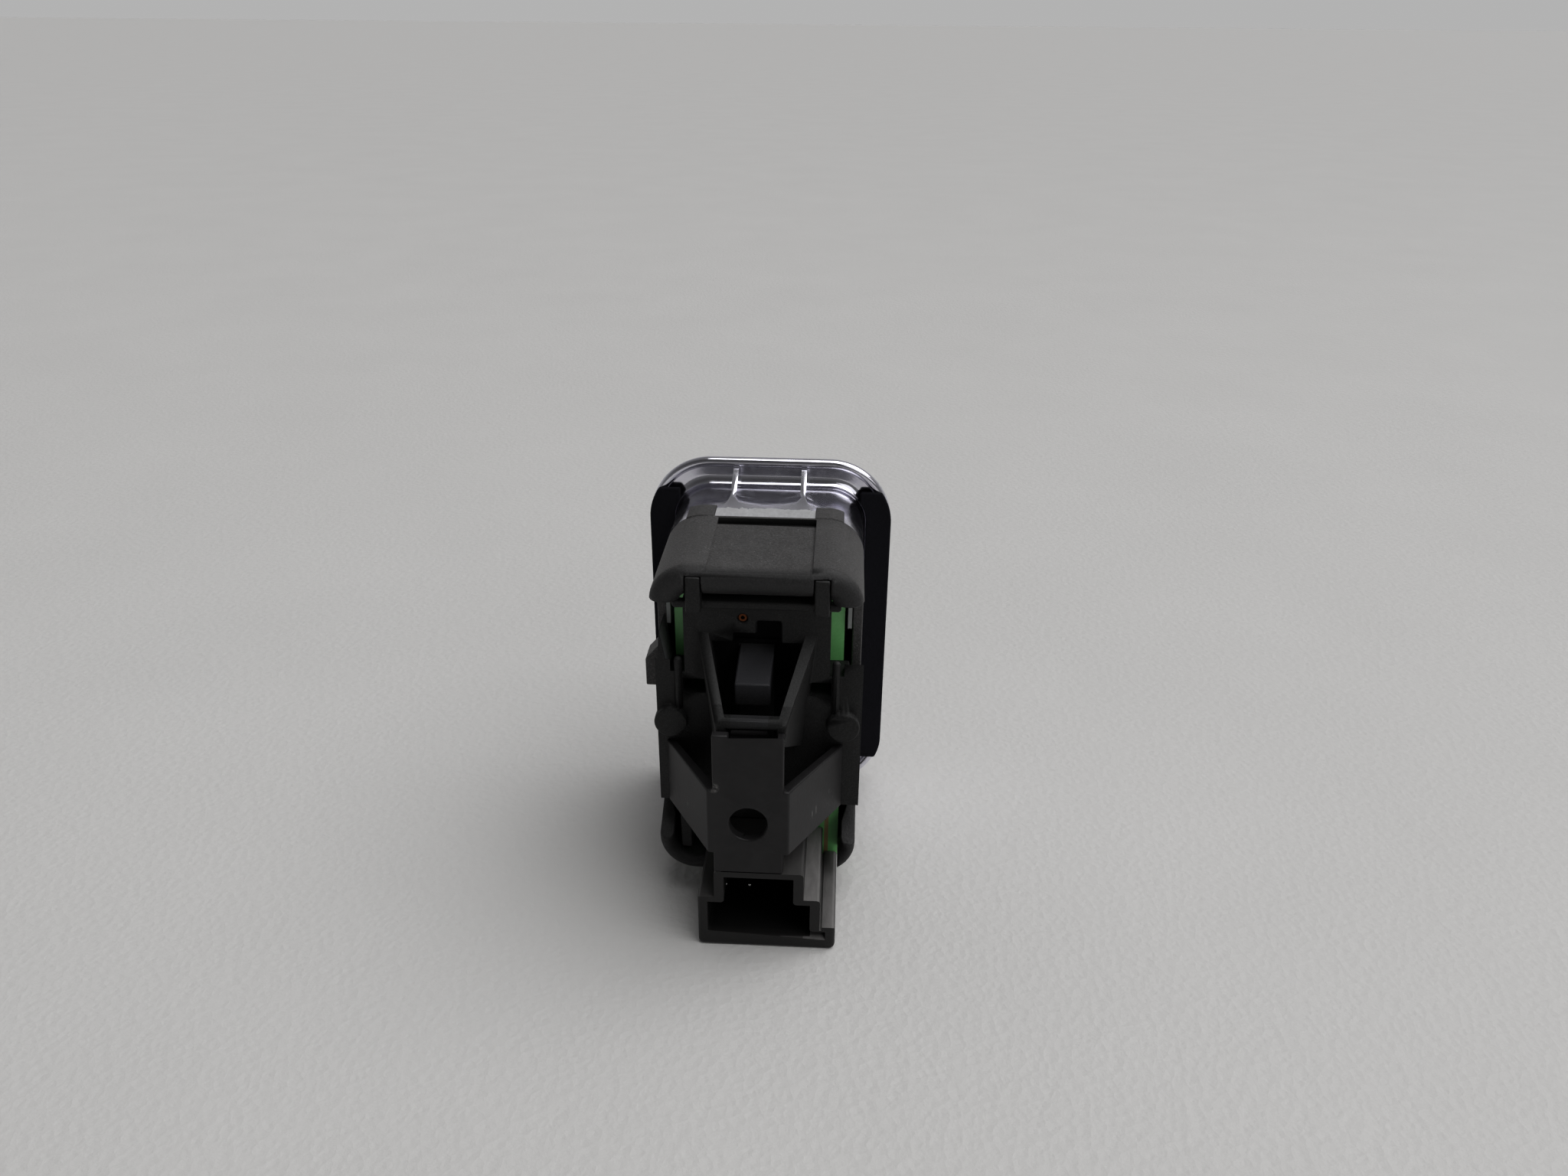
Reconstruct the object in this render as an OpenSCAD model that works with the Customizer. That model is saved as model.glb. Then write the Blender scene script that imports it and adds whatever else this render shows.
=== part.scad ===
// Two-way seat switch with a chrome bezel, a clip-in housing and a rear cable socket.
// X runs across the switch, +Y towards its front, +Z up. The origin is the centre of the
// plane where the bezel's lip meets the trim panel.

/* [Bezel] */
// Width of the bezel
bezel_w = 27; // [25:0.1:30]
// Height of the bezel
bezel_h = 42.4; // [41:0.1:46]
// Outer corner radius of the bezel
bezel_r = 7; // [6.6:0.1:8]
// How far the flange stands out from the collar
flange_overhang = 3.1; // [2.6:0.1:3.4]
// Height of the bezel's crown in front of the panel
bezel_crown = 2.6; // [2.2:0.1:3.2]
// Length of the collar behind the panel
collar_len = 8.9; // [8.6:0.1:9.4]
// Wall of the collar
collar_wall = 1.2; // [1:0.1:1.4]
// Radius of the rolled lip at the flange's edge
lip_r = 0.55; // [0.4:0.05:0.65]
// Radius of the cove between flange and collar
cove_r = 1.2; // [0.9:0.1:1.4]
// Thickness of a gusset rib
gusset_t = 0.6; // [0.5:0.1:0.9]
// Distance between the two gusset ribs
gusset_pitch = 7.5; // [6.5:0.1:8.5]
// Length of a gusset rib along the collar
gusset_len = 5.4; // [4.5:0.1:5.6]

/* [Felt strips] */
// Thickness of a felt strip
felt_t = 0.5; // [0.3:0.1:0.8]
// Distance from a strip's upper end to the bezel's top
felt_top_end = 3.4; // [3.2:0.1:5]
// Distance from a strip's lower end to the bezel's bottom
felt_bottom_end = 4.3; // [3.2:0.1:5]

/* [Front housing] */
// Wall of the housing
housing_wall = 1; // [0.9:0.05:1.1]
// Wall of the lower hood at its rear lip
hood_wall = 1.5; // [1.3:0.1:1.8]
// Thickness of the upper hood's rolled rear lip
hood_lip = 2.9; // [2.6:0.1:3.1]
// Reach of the upper hood behind the panel
upper_hood_len = 22.5; // [22:0.1:23.5]
// Reach of the lower hood behind the panel
lower_hood_len = 21.4; // [21:0.1:22]
// Reach of the side walls behind the panel
side_len = 16.5; // [16:0.1:16.6]
// Height of the upper hood's sides below its top
upper_side_h = 3.5; // [3:0.1:5]
// Height of the lower hood's sides above its underside
lower_side_h = 4; // [3.6:0.1:4.4]
// Rise of the lower hood's sides towards the board
lower_side_rise = 3; // [2:0.1:3.4]
// Width of a tongue that laps onto the collar
tongue_w = 2.9; // [2.4:0.1:3.2]
// Distance between the two tongues' middles
tongue_pitch = 13.5; // [13:0.1:14]
// Reach of a tongue in front of the housing's edge
tongue_len = 2.8; // [2.4:0.1:3.2]
// Thickness of a tongue
tongue_t = 0.6; // [0.5:0.05:0.7]
// How far a tongue stands proud of the collar
tongue_proud = 0.12; // [0.05:0.01:0.2]
// Width of the plain panel on the upper hood
panel_w = 10.2; // [9:0.1:10.4]
// Middle of the plain panel across the switch
panel_x = 0.3; // [-0.4:0.05:0.4]
// Depth of the plain panel below the hood's top
panel_depth = 0.3; // [0.2:0.05:0.4]
// Length of the slot at the panel's front edge
panel_slot_len = 1.2; // [0.8:0.1:1.6]
// Width of the locating lug along the side wall
lug_w = 3; // [2.4:0.1:3.4]
// Height of the locating lug
lug_h = 4.8; // [4:0.1:6]
// How far the locating lug stands out from the side
lug_out = 1.5; // [1:0.1:1.8]
// Thickness of the deck that carries the plungers
deck_t = 1.5; // [1.2:0.1:1.6]

/* [Rocker] */
// Gap between the rocker's side and the collar
rocker_side_gap = 0.35; // [0.3:0.05:0.5]
// Gap between the rocker's end and the collar
rocker_end_gap = 0.7; // [0.7:0.05:1]
// Wall of the rocker
rocker_wall = 1.3; // [1.1:0.1:1.5]
// Dish of the rocker's front face
rocker_dish = 0.8; // [0.4:0.1:1]
// Depth of the pivot behind the panel plane
pivot_depth = 3; // [2.8:0.1:3.2]
// Diameter of the pivot pin
pivot_d = 2; // [1.8:0.1:2.2]
// Distance from the pivot to a plunger
plunger_arm = 9; // [8.6:0.1:9.2]
// Diameter of a plunger
plunger_d = 2.9; // [2.5:0.1:3]
// Width of a light window in the rocker
window_w = 5; // [4:0.1:6]
// Height of a light window in the rocker
window_h = 1.2; // [0.8:0.1:1.6]

/* [Circuit board] */
// Thickness of the board
board_t = 1.6; // [1.4:0.1:1.7]
// Depth of the board's rear face behind the panel
board_depth = 17; // [16.8:0.1:17.1]
// Width of a tact switch
tact_w = 6; // [5.6:0.1:6.2]
// Height of a tact switch above the board
tact_h = 3.4; // [3.2:0.1:3.5]
// Diameter of a tact switch's button
tact_button_d = 3.4; // [3:0.1:3.8]
// Thickness of a light guide leg beside the board
guide_t = 0.4; // [0.3:0.05:0.5]
// Outer diameter of the copper test contact
contact_d = 0.8; // [0.7:0.05:0.9]

/* [Rear cover] */
// Gap between the board and the cover
cover_gap = 0.2; // [0.1:0.05:0.4]
// Thickness of the cover
cover_t = 3.3; // [3:0.1:3.6]
// Depth of the pocket between the cover's ribs
pocket_depth = 2.5; // [2:0.1:2.8]
// Half width of the cover's upper part
cover_half_w = 7.25; // [7:0.05:7.4]
// Height of the housing's top above the cover's top edge
cover_top_drop = 3.8; // [3.7:0.1:4.4]
// Width of the right rail
right_rail_w = 1.9; // [1.7:0.1:2]
// Width of the left rail
left_rail_w = 1.5; // [1.3:0.1:1.7]
// Height of a rail's top above the middle
rail_top = 7.4; // [7:0.1:7.8]
// Radius of an ear
ear_r = 1.65; // [1.5:0.05:1.8]
// Thickness of an ear
ear_t = 1; // [0.8:0.1:1.2]
// Thickness of a frame rib
rib_t = 1; // [0.8:0.05:1.1]
// Half width between the frame ribs at the cover
rib_spread = 5.8; // [5.4:0.1:6]
// Drop of the frame ribs' start below the cover's top edge
rib_drop = 3.8; // [3.4:0.1:4.2]

/* [Bracket] */
// Thickness of the bracket's sheet
sheet_t = 1; // [0.8:0.1:1.1]
// Depth of the bracket's rear face behind the panel
plate_depth = 29.3; // [29:0.1:29.6]
// Half width of the bracket's plate at the folds
plate_half_w = 3.95; // [3.7:0.05:4.1]
// Half width of the bracket's strip and leg
strip_half_w = 3.45; // [3.2:0.05:3.6]
// Middle of the bracket across the switch
bracket_x = -0.25; // [-0.4:0.05:0.2]
// Height of the wings' upper edge below the middle
wing_top = 2; // [1.8:0.1:2.3]
// Diameter of the fixing hole
fixing_d = 3.75; // [3.2:0.05:4.2]
// Height of the fixing hole below the middle
fixing_drop = 5.9; // [5.4:0.1:6.2]

/* [Connector] */
// Middle of the socket across the switch
socket_x = 0.75; // [0.5:0.05:0.9]
// Half width of the socket's narrow upper part, inside
narrow_half_w = 3.5; // [3.2:0.05:3.6]
// Half width of the socket's wide lower part, inside
wide_half_w = 5.2; // [5.1:0.05:5.3]
// Wall of the socket
socket_wall = 1; // [0.9:0.05:1.1]
// Height of the socket above its base
socket_h = 9.4; // [9.2:0.1:9.6]
// Height of the socket's shoulders above its base
shoulder_h = 6.2; // [6:0.1:6.4]
// Radius of the socket's lower corners
socket_corner_r = 0.6; // [0.4:0.05:0.8]
// Height of the socket's side ledge above the base
ledge_h = 2.8; // [2.6:0.1:3]
// Width of the socket's side ledge
ledge_w = 1.6; // [1.4:0.1:1.8]
// Floor of the socket under the cavity
socket_base = 1.5; // [1.3:0.1:1.7]
// Distance between terminals
pin_pitch = 2.5; // [2.3:0.05:2.54]
// Width of a square terminal
pin_w = 0.64; // [0.5:0.02:0.7]
// How far the terminals end inside the mouth
pin_recess = 4.3; // [4.2:0.1:5]
// Height of the terminals above the socket's base
pin_rise = 4.2; // [4:0.1:4.4]

/* [Hidden] */
$fn = 48;

// Clearances
fit = 0.05;
gap = 0.1;
touch_gap = 0.1;
// Depth by which a cut passes the face that it opens
past = 1;

// Outline of the collar and housing
body_w = bezel_w - 2 * flange_overhang;
body_h = bezel_h - 2 * flange_overhang;
body_r = bezel_r - flange_overhang;
base_z = -bezel_h / 2;
inner_w = body_w - 2 * housing_wall;
inner_h = body_h - 2 * housing_wall;
inner_r = body_r - housing_wall;

// Bezel
crown_o = 0.6;
bead_h = 1.2;
gusset_root = 0.3;
felt_lap = 0.4;
felt_in = body_w / 2 - felt_lap;
// The felt clears the cove, which meets the panel plane at this offset
felt_gap = cove_r - sqrt(cove_r * cove_r - (cove_r - lip_r) * (cove_r - lip_r)) + fit;

// Housing
deck_front = -collar_len - gap;
deck_back = deck_front - deck_t;
rim_len = 2;
rim_wall = 0.95;
tongue_front = -collar_len + tongue_len;
upper_cut = body_h / 2 - upper_side_h;
lower_cut = lower_side_h - body_h / 2;
hood_blend = 1.5;
hood_thin_past = 0.5;
hood_thick_start = board_depth + hood_thin_past;
lug_bottom = 1.9;
lug_ramp = 1.7;
panel_slot_depth = 0.8;
panel_slot_start = 0.4;
post_d = 2.2;
post_x = 7;
post_z = 6.5;
pivot_post_w = 1.4;
pivot_post_h = 3.6;

// Rails of the cover
rail_inset = 1.7;
rail_in = body_w / 2 - rail_inset;
left_rail_out = rail_in + left_rail_w;
rail_bottom_gap = 4.6;
rail_bottom = -lower_cut - rail_bottom_gap;
rail_front = -side_len - gap;
rail_slope = 2.8;
rail_tip = 3.1;
rail_lap = 0.5;

// Board
board_half_w = min(rail_in, inner_w / 2 - gap - guide_t) - gap;
board_top = inner_h / 2 - gap;
board_bottom = -inner_h / 2 + gap;
board_front = -board_depth + board_t;
board_tab_drop = 1.8;
board_hole_d = 1;

// Rocker
rocker_w = body_w - 2 * collar_wall - 2 * rocker_side_gap;
rocker_h = body_h - 2 * collar_wall - 2 * rocker_end_gap;
rocker_r = body_r - collar_wall - rocker_side_gap;
rocker_set_back = 0.7;
rocker_front = bezel_crown - rocker_set_back;
rocker_edge_r = 0.7;
skirt_past_pivot = 0.2;
rocker_skirt = -pivot_depth - skirt_past_pivot;
hollow_w = rocker_w - 2 * rocker_wall;
hollow_h = rocker_h - 2 * rocker_wall;
hollow_r = rocker_r - rocker_wall;
pivot_y = -pivot_depth;
pivot_post_gap = 0.65;
pivot_post_x = hollow_w / 2 - pivot_post_gap - pivot_post_w / 2;
boss_wall = 1.2;
boss_d = pivot_d + 2 * boss_wall;
boss_w = 1.8;
boss_x = pivot_post_x - pivot_post_w / 2 - gap - boss_w / 2;
leg_r = 1;
leg_w = 4;
window_end = 4.2;
window_z = rocker_h / 2 - window_end;
window_proud = 0.3;

// Plungers and tact switches
plunger_lip = 0.75;
plunger_head_d = plunger_d + 2 * plunger_lip;
plunger_head_t = 0.8;
plunger_set = 3.75;
plunger_front = pivot_y - plunger_set;
leg_end = plunger_front + touch_gap;
tact_front = board_front + tact_h;
button_rise = 0.6;
button_front = tact_front + button_rise;
button_sink = 1.5;
tact_bore = 2.6;

// Lamps, resistors and light guide
led_x = 4.5;
led_drop = 4.5;
led_z = board_top - led_drop;
led_size = [2, 0.8, 1.2];
led_window_d = led_size[0] + 1;
guide_corner = 0.2;
guide_top = inner_h / 2 - inner_r + guide_corner;
guide_foot = 2.5;
guide_bottom = rail_top + guide_foot;
guide_plunger_gap = 0.5;
guide_bar_bottom = plunger_arm + plunger_d / 2 + guide_plunger_gap;
guide_bar_t = 1;
guide_past_board = 0.6;
guide_back = -board_depth - guide_past_board;
resistor_size = [1.6, 0.5, 0.8];
resistor_pitch = 3;
resistor_z = -2;

// Cover
cover_depth = board_depth + cover_gap + cover_t;
cover_back = -cover_depth;
cover_front = cover_back + cover_t;
cover_top = body_h / 2 - cover_top_drop;
lip_h = 0.8;
lip_t = 0.8;
lip_gap = 0.7;
lip_half_w = body_w / 2 - hood_wall - lip_gap;
hook_places = [-6, 6.35];
hook_w = 1.45;
hook_t = 1.9;
hook_drop = 0.8;
hook_top = body_h / 2 - hook_drop;
hook_back = fit - upper_hood_len;
hook_front = min(hook_back + hook_t, cover_back - fit);
nub_x = -7.6;
nub_w = 1.2;
// The nub's end follows the round corner inside the lower hood
nub_reach = nub_w / 2 - nub_x - body_w / 2 + body_r;
nub_bottom = body_r - body_h / 2 - sqrt(pow(body_r - hood_wall, 2) - pow(nub_reach, 2)) + gap;
side_rib_r = 0.4;
side_rib_gap = 0.4;
side_rib_x = rail_in - side_rib_gap - side_rib_r;
side_rib_bottom = 1.9;
side_rib_top = rail_top - gap;
ear_x = rail_in + fit;
ear_z = 0.5;
bar_top = 5.2;
bar_h = 0.9;
bar_t = 1.2;
rib_top = cover_top - rib_drop;
rib_end_depth = plate_depth - sheet_t - gap;
rib_end_half_w = strip_half_w;
rib_end_drop = 0.2;
rib_end_z = bar_top - rib_end_drop;
rib_end_h = 2;
rib_lean = 5.5;
rib_foot_z = -wing_top;
catch_x = -0.2;
catch_half_w = 1.75;
catch_drop = 1.2;
catch_reach = 3.5;
slot_in = 4.7;
slot_out = 7.45;
slot_bottom = 3.6;
slot_h = 1.6;
recess_half_w = 2.4;
recess_drop = 2.4;
recess_top = cover_top - recess_drop;
recess_h = 3.3;
recess_bottom = recess_top - recess_h;
recess_step_h = 2;
recess_floor = 0.4;
pocket_drop = 4.7;
pocket_top = cover_top - pocket_drop;
pocket_margin = 0.3;
pocket_top_half_w = rib_spread - rib_t - pocket_margin;
pocket_bottom_half_w = pocket_top_half_w - (pocket_top - rib_foot_z) * tan(rib_lean);
top_wall_t = 1.5;
catch_gap = 0.6;
catch_top = recess_bottom - catch_gap;
cover_leg_d = 1.6;
cover_leg_x = 6.2;
cover_leg_z = cover_top - cover_leg_d / 2;
cover_bottom = base_z + socket_h + gap;

// Test contact on the board, which ends inside a hole of the cover
contact_x = -1.4;
contact_drop = 2.2;
contact_z = cover_top - contact_drop;
contact_bore = contact_d / 2;
contact_recess = 0.3;
contact_hole_d = contact_d + 2 * gap;

// Bracket
plate_back = -plate_depth;
plate_front = plate_back + sheet_t;
wing_bottom = rail_bottom;
wing_lap = 0.4;
wing_end_x = rail_in + wing_lap;
wing_end_y = cover_back - gap;
strip_top = bar_top - bar_h - gap;
strip_slot_left = 1.85;
strip_slot_right = 2.85;
tongue_tab_half_w = rib_end_half_w - rib_t - 4 * gap - abs(bracket_x);
tongue_tab_t = sheet_t / 2;
tongue_tab_past = 0.6;
tongue_tab_front = -rib_end_depth + bar_t + tongue_tab_past;

// Connector
mouth = -plate_depth;
socket_back = -board_depth;
socket_floor_t = 2;
socket_floor = socket_back - socket_floor_t;
socket_roof = 0.65;
socket_top = base_z + socket_h;
shoulder_top = base_z + shoulder_h;
narrow_out = narrow_half_w + socket_wall;
wide_out = wide_half_w + socket_wall;
ledge_out = wide_out + ledge_w;
ledge_top = base_z + ledge_h;
ledge_wall = 0.6;
groove_w = 0.25;
groove_depth = 0.4;
pin_places = 4;
pin_count = 2;
pin_z = base_z + pin_rise;
pin_tip = mouth + pin_recess;
pin_solder = 0.6;
pin_taper = 0.6;
notch_gap = 0.15;
notch_right = max(socket_x + ledge_out + fit, board_half_w);

// Points along an arc from one angle to another
function arc(cx, cy, rx, ry, from, to, steps) = [
    for (i = [0:steps]) let (a = from + (to - from) * i / steps) [cx + rx * cos(a), cy + ry * sin(a)]
];

// X place of a terminal, counted from 1
function pin_x(i) = socket_x + (i - (pin_places + 1) / 2) * pin_pitch;

// Rounded rectangle across the switch
module rounded_rect(w, h, r) {
    square([w - 2 * r, h], center = true);
    square([w, h - 2 * r], center = true);
    for (sx = [-1, 1], sy = [-1, 1])
        translate([sx * (w / 2 - r), sy * (h / 2 - r)])
            circle(r);
}

// Outline drawn in X and Z, extruded from a front depth to a back depth
module slab(front, back) {
    translate([0, front, 0])
        rotate([90, 0, 0])
            linear_extrude(front - back)
                children();
}

// Outline drawn in Y and Z, extruded across X
module across(half_w) {
    translate([-half_w, 0, 0])
        rotate([90, 0, 90])
            linear_extrude(2 * half_w)
                children();
}

// Box between two corners
module block(low, high) {
    translate(low)
        cube(high - low);
}

// Profile of offset and depth, swept round a rounded rectangle
module frame_sweep(w, h, r) {
    for (k = [0:3])
        let (across_w = k % 2 == 0 ? w : h, along_h = k % 2 == 0 ? h : w)
            rotate([0, 90 * k, 0]) {
                translate([across_w / 2, 0, r - along_h / 2])
                    linear_extrude(along_h - 2 * r)
                        children();
                translate([across_w / 2 - r, 0, r - along_h / 2])
                    rotate([-90, 0, 0])
                        rotate_extrude(angle = 90)
                            translate([r, 0])
                                children();
            }
}

// Section of the bezel: bead, crown, rolled lip, cove and collar
module bezel_section() {
    polygon(concat(
        [[-collar_wall, -collar_len]],
        arc(crown_o, bezel_crown - bead_h, crown_o + collar_wall, bead_h, 180, 90, 8),
        arc(crown_o, lip_r, flange_overhang - crown_o, bezel_crown - lip_r, 84, 0, 10),
        arc(flange_overhang - lip_r, lip_r, lip_r, lip_r, -20, -180, 8),
        arc(cove_r, lip_r - cove_r, cove_r, cove_r, 90, 180, 8),
        [[0, -collar_len]]
    ));
}

// Places of the tongues, widened by a clearance
module tongue_places(grow, out, inward) {
    intersection() {
        difference() {
            rounded_rect(body_w + 2 * out, body_h + 2 * out, body_r + out);
            rounded_rect(body_w - 2 * inward, body_h - 2 * inward, body_r - inward);
        }
        for (sx = [-1, 1])
            translate([sx * tongue_pitch / 2, 0])
                square([tongue_w + 2 * grow, body_h + 2 * past], center = true);
    }
}

module bezel() {
    color("lightgray") {
        difference() {
            frame_sweep(body_w, body_h, body_r)
                bezel_section();
            slab(tongue_front + fit, -collar_len - past)
                tongue_places(fit, past, tongue_t);
        }
        for (sx = [-1, 1], sz = [0, 1])
            mirror([0, 0, sz])
                translate([sx * gusset_pitch / 2, 0, 0])
                    across(gusset_t / 2)
                        polygon([
                            [gusset_root, body_h / 2 - gusset_root],
                            [gusset_root, body_h / 2 + flange_overhang - 1.5 * lip_r],
                            [-gusset_len, body_h / 2],
                            [-gusset_len, body_h / 2 - gusset_root]
                        ]);
    }
}

// Strip of felt on one side of the flange's back, side is -1 or 1
module felt_strip(side) {
    color([0.08, 0.08, 0.1])
        slab(0, -felt_t)
            intersection() {
                difference() {
                    rounded_rect(bezel_w - lip_r, bezel_h - lip_r, bezel_r - lip_r / 2);
                    rounded_rect(body_w + 2 * felt_gap, body_h + 2 * felt_gap, body_r + felt_gap);
                }
                translate([side > 0 ? felt_in : -bezel_w / 2, felt_bottom_end - bezel_h / 2])
                    square([bezel_w / 2 - felt_in, bezel_h - felt_top_end - felt_bottom_end]);
            }
}

module felt_strip_left() {
    felt_strip(-1);
}

module felt_strip_right() {
    felt_strip(1);
}

// Profile of offset and depth, swept round the upper half of a rounded rectangle
module arch_sweep(w, h, r) {
    translate([0, 0, h / 2])
        rotate([0, -90, 0])
            translate([0, 0, r - w / 2])
                linear_extrude(w - 2 * r)
                    children();
    for (k = [0, 1])
        mirror([k, 0, 0]) {
            translate([w / 2, 0, 0])
                linear_extrude(h / 2 - r)
                    children();
            translate([w / 2 - r, 0, h / 2 - r])
                rotate([0, -90, 0])
                    rotate([-90, 0, 0])
                        rotate_extrude(angle = 90)
                            translate([r, 0])
                                children();
        }
}

// Section of the housing's wall: thin at the board, thick and round at the hood's lip
module wall_section(reach, thick) {
    lip = thick / 2;
    polygon(concat(
        [[0, -collar_len], [-housing_wall, -collar_len], [-housing_wall, -hood_thick_start]],
        [[-thick, -hood_thick_start - hood_blend]],
        arc(-lip, -reach + lip, lip, lip, 180, 360, 12)
    ));
}

// Wall of the housing with its two hoods, cut back at the sides
module housing_walls() {
    difference() {
        union() {
            arch_sweep(body_w, body_h, body_r)
                wall_section(upper_hood_len, hood_lip);
            mirror([0, 0, 1])
                arch_sweep(body_w, body_h, body_r)
                    wall_section(lower_hood_len, hood_wall);
        }
        across(body_w)
            polygon([
                [-side_len, upper_cut], [-upper_hood_len - past, upper_cut],
                [-upper_hood_len - past, lower_cut], [-lower_hood_len, lower_cut],
                [-side_len, lower_cut + lower_side_rise]
            ]);
    }
}

// Lug with a ramp at its top, on the left side wall
module locating_lug() {
    translate([-body_w / 2, 0, lug_bottom])
        slab(-side_len + lug_w, -side_len)
            polygon([
                [housing_wall / 2, 0], [-lug_out, 0], [-lug_out, lug_h - lug_ramp],
                [0, lug_h], [housing_wall / 2, lug_h]
            ]);
}

// Posts on the deck: two for the pivot pin, four for the board
module deck_posts() {
    for (sx = [-1, 1]) {
        translate([sx * pivot_post_x, 0, 0])
            across(pivot_post_w / 2) {
                translate([pivot_y, 0])
                    circle(d = pivot_post_h);
                translate([deck_front - deck_t / 2, -pivot_post_h / 2])
                    square([pivot_y - deck_front + deck_t / 2, pivot_post_h]);
            }
        for (sz = [-1, 1])
            translate([sx * post_x, deck_front - deck_t / 2, sz * post_z])
                rotate([90, 0, 0])
                    cylinder(d = post_d, h = deck_front - deck_t / 2 - board_front);
    }
}

// Plain panel sunk into the upper hood, with a deeper slot at its front
module panel_cut() {
    half = panel_w / 2;
    front = -collar_len - panel_slot_start;
    translate([panel_x, 0, body_h / 2]) {
        block([-half, -upper_hood_len - past, -panel_depth], [half, front, past]);
        block([-half, front - panel_slot_len, -panel_slot_depth], [half, front, past]);
    }
}

module front_housing() {
    color([0.28, 0.28, 0.27])
        difference() {
            union() {
                housing_walls();
                slab(deck_front, deck_back)
                    rounded_rect(inner_w + housing_wall, inner_h + housing_wall, inner_r + housing_wall / 2);
                slab(deck_front + rim_len, deck_back)
                    difference() {
                        let (inset = collar_wall + fit)
                            rounded_rect(body_w - 2 * inset, body_h - 2 * inset, body_r - inset);
                        let (inset = collar_wall + fit + rim_wall)
                            rounded_rect(body_w - 2 * inset, body_h - 2 * inset, body_r - inset);
                    }
                slab(tongue_front, deck_front)
                    tongue_places(0, tongue_proud, tongue_t - fit);
                deck_posts();
                locating_lug();
            }
            panel_cut();
            // Guide bores of the plungers
            for (sz = [-1, 1])
                translate([0, deck_front + past, sz * plunger_arm])
                    rotate([90, 0, 0])
                        cylinder(d = plunger_d + 2 * fit, h = deck_t + 2 * past);
            // Windows in front of the lamps
            for (sx = [-1, 1])
                translate([sx * led_x, deck_front + past, led_z])
                    rotate([90, 0, 0])
                        cylinder(d = led_window_d, h = deck_t + 2 * past);
            // Bores of the pivot pin
            rotate([0, 90, 0])
                translate([0, pivot_y, -body_w / 2 + housing_wall + collar_wall])
                    cylinder(d = pivot_d + fit, h = body_w - 2 * housing_wall - 2 * collar_wall);
            // Notches in the upper hood's lip for the cover's hooks
            for (x = hook_places)
                translate([x, 0, 0])
                    block([-hook_w / 2 - gap, -upper_hood_len - past, upper_cut - past],
                          [hook_w / 2 + gap, hook_front + gap, hook_top + gap]);
            // Notch under the board for the socket
            translate([0, board_front + pin_solder + notch_gap, body_r - body_h / 2])
                block([socket_x - wide_out - notch_gap, -body_h, -body_h], [notch_right, 0, 0]);
        }
}

// Solid form of the rocker, with a dished front and round ends
module rocker_blank() {
    r = rocker_edge_r;
    half = rocker_h / 2;
    // Radius of the dish, from its depth over the rocker's height
    dish_r = (half * half + rocker_dish * rocker_dish) / (2 * rocker_dish);
    swing = asin((half - r) / dish_r);
    intersection() {
        slab(rocker_front + past, rocker_skirt)
            rounded_rect(rocker_w, rocker_h, rocker_r);
        across(rocker_w)
            polygon(concat(
                [[rocker_skirt, -half]],
                arc(rocker_front - r, -half + r, r, r, -90, -10, 6),
                arc(rocker_front - rocker_dish + dish_r, 0, dish_r, dish_r, 180 + swing, 180 - swing, 24),
                arc(rocker_front - r, half - r, r, r, 10, 90, 6),
                [[rocker_skirt, half]]
            ));
    }
}

// Outline of a leg or boss: round at a depth, running forward into the rocker's face
module round_root(depth, r) {
    translate([depth, 0])
        circle(r);
    translate([depth, -r])
        square([rocker_front - rocker_dish - rocker_wall / 2 - depth, 2 * r]);
}

module rocker() {
    color([0.1, 0.1, 0.11])
        difference() {
            union() {
                difference() {
                    rocker_blank();
                    slab(rocker_front - rocker_dish - rocker_wall, rocker_skirt - past)
                        rounded_rect(hollow_w, hollow_h, hollow_r);
                }
                // Legs over the plungers
                for (sz = [-1, 1])
                    translate([0, 0, sz * plunger_arm])
                        across(leg_w / 2)
                            round_root(leg_end + leg_r, leg_r);
                // Bosses of the pivot
                for (sx = [-1, 1])
                    translate([sx * boss_x, 0, 0])
                        across(boss_w / 2)
                            round_root(pivot_y, boss_d / 2);
            }
            rotate([0, 90, 0])
                translate([0, pivot_y, -rocker_w / 2 + rocker_wall])
                    cylinder(d = pivot_d + 2 * fit, h = rocker_w - 2 * rocker_wall);
            window_places();
        }
}

// Places of the two light windows
module window_places() {
    half = [window_w / 2, 0, window_h / 2];
    back = [0, rocker_front - rocker_dish - rocker_wall - window_proud, 0];
    for (sz = [-1, 1])
        translate([0, 0, sz * window_z])
            block(back - half, half + [0, rocker_front + past, 0]);
}

module rocker_window() {
    color("whitesmoke")
        intersection() {
            rocker_blank();
            window_places();
        }
}

module pivot_pin() {
    color("silver")
        rotate([0, 90, 0])
            translate([0, pivot_y, -pivot_post_x - pivot_post_w / 2])
                cylinder(d = pivot_d, h = 2 * pivot_post_x + pivot_post_w);
}

// Headed rod under one leg of the rocker
module plunger(side) {
    color("white")
        translate([0, plunger_front, side * plunger_arm])
            rotate([90, 0, 0]) {
                cylinder(d = plunger_head_d, h = plunger_head_t);
                cylinder(d = plunger_d, h = plunger_front - button_front);
            }
}

module plunger_upper() {
    plunger(1);
}

module plunger_lower() {
    plunger(-1);
}

// Case of a tact switch, open at the front for its button
module tact_switch(side) {
    color("dimgray")
        translate([0, 0, side * plunger_arm])
            difference() {
                block([-tact_w / 2, board_front, -tact_w / 2], [tact_w / 2, tact_front, tact_w / 2]);
                translate([0, tact_front + past, 0])
                    rotate([90, 0, 0])
                        cylinder(d = tact_button_d + 2 * fit, h = tact_bore + past);
            }
}

module tact_switch_upper() {
    tact_switch(1);
}

module tact_switch_lower() {
    tact_switch(-1);
}

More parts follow.
